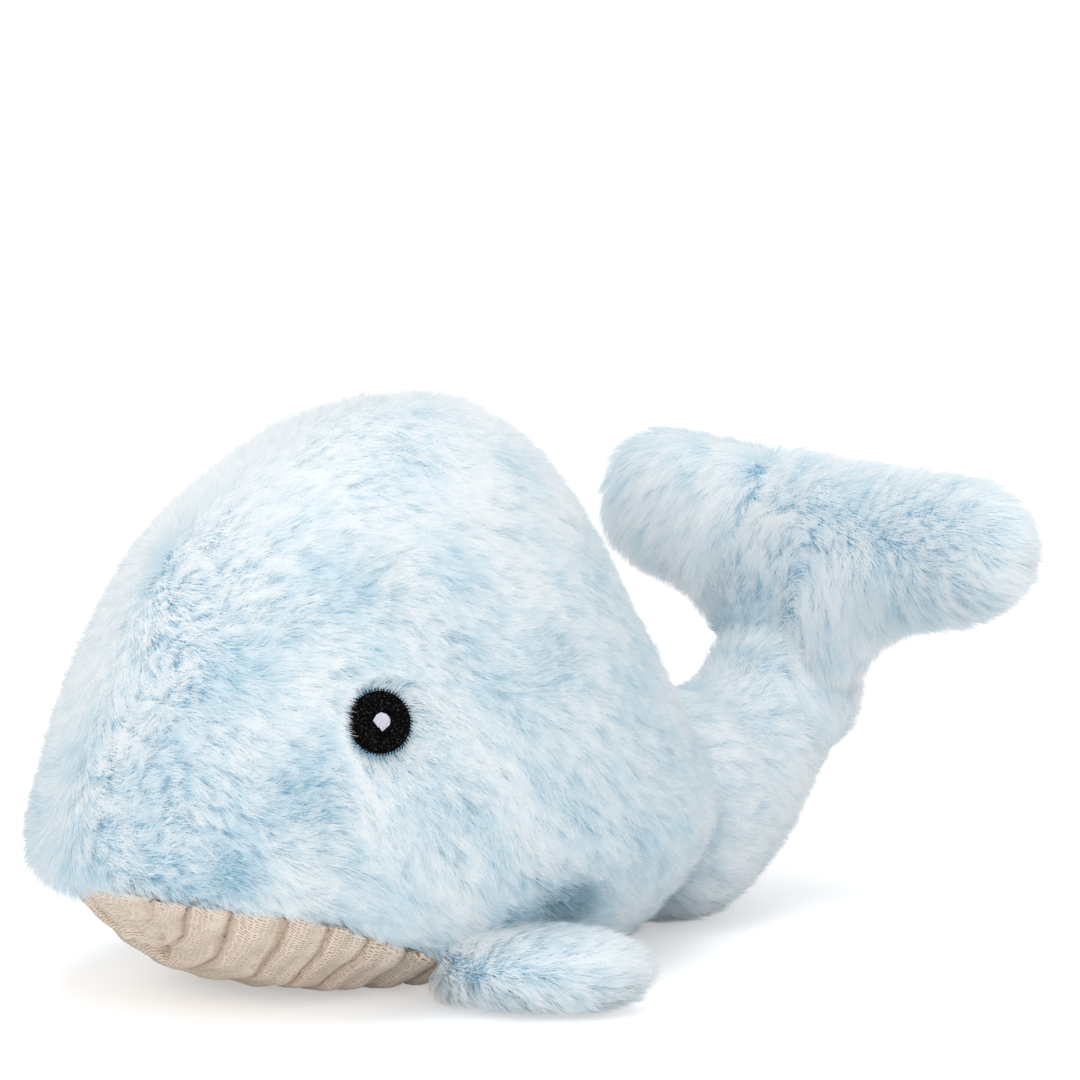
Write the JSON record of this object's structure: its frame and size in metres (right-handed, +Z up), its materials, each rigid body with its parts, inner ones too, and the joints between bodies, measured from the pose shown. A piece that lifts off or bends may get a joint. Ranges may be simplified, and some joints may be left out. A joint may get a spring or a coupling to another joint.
{
  "type": "plush whale",
  "caption": "Plush whale lying on a ribbed velour belly: a domed long-pile body with embroidered eyes, side flippers that flap, a raised tail that bends and a fluke that nods.",
  "frame": {"origin": "on the ground under the middle of the belly, on the crest of a belly rib", "axes": "+X to the whale's left, +Y to its tail, so the nose points to -Y, and +Z up"},
  "size_m": [0.2176, 0.3102, 0.174],
  "materials": {
    "fur_plush": "matte",
    "ribbed_velour": "matte",
    "fibre_filling": "matte",
    "eye_thread_black": "satin",
    "eye_thread_white": "satin"
  },
  "bodies": {
    "whale_body": {"left_side_panel": "fur_plush", "right_side_panel": "fur_plush", "belly_panel": "ribbed_velour", "body_stuffing": "fibre_filling", "left_eye_disc": "eye_thread_black", "left_eye_highlight": "eye_thread_white", "right_eye_disc": "eye_thread_black", "right_eye_highlight": "eye_thread_white"},
    "tail": {"tail_left_panel": "fur_plush", "tail_right_panel": "fur_plush", "tail_stuffing": "fibre_filling"},
    "fluke": {"fluke_front_panel": "fur_plush", "fluke_back_panel": "fur_plush", "fluke_stuffing": "fibre_filling"},
    "left_flipper": {"left_flipper_top_panel": "fur_plush", "left_flipper_bottom_panel": "fur_plush", "left_flipper_stuffing": "fibre_filling"},
    "right_flipper": {"right_flipper_top_panel": "fur_plush", "right_flipper_bottom_panel": "fur_plush", "right_flipper_stuffing": "fibre_filling"}
  },
  "joints": [
    {"name": "tail_bend", "type": "hinge", "parent": "whale_body", "child": "tail", "pos_m": [0, 0.11, 0.036], "axis": [1, 0, 0], "range_deg": [-15, 25], "stiffness_Nm_per_rad": 0.15, "springref_deg": 6.3},
    {"name": "fluke_nod", "type": "hinge", "parent": "tail", "child": "fluke", "pos_m": [0, 0.168, 0.067], "axis": [1, 0, 0], "range_deg": [-25, 25], "stiffness_Nm_per_rad": 0.05, "springref_deg": 2.18},
    {"name": "left_flipper_flap", "type": "hinge", "parent": "whale_body", "child": "left_flipper", "pos_m": [0.06983, -0.009, 0.0126], "axis": [0, -1, 0], "range_deg": [0, 30], "stiffness_Nm_per_rad": 0.02, "springref_deg": 0.97},
    {"name": "right_flipper_flap", "type": "hinge", "parent": "whale_body", "child": "right_flipper", "pos_m": [-0.06983, -0.009, 0.0126], "axis": [0, 1, 0], "range_deg": [0, 30], "stiffness_Nm_per_rad": 0.02, "springref_deg": 0.97}
  ]
}
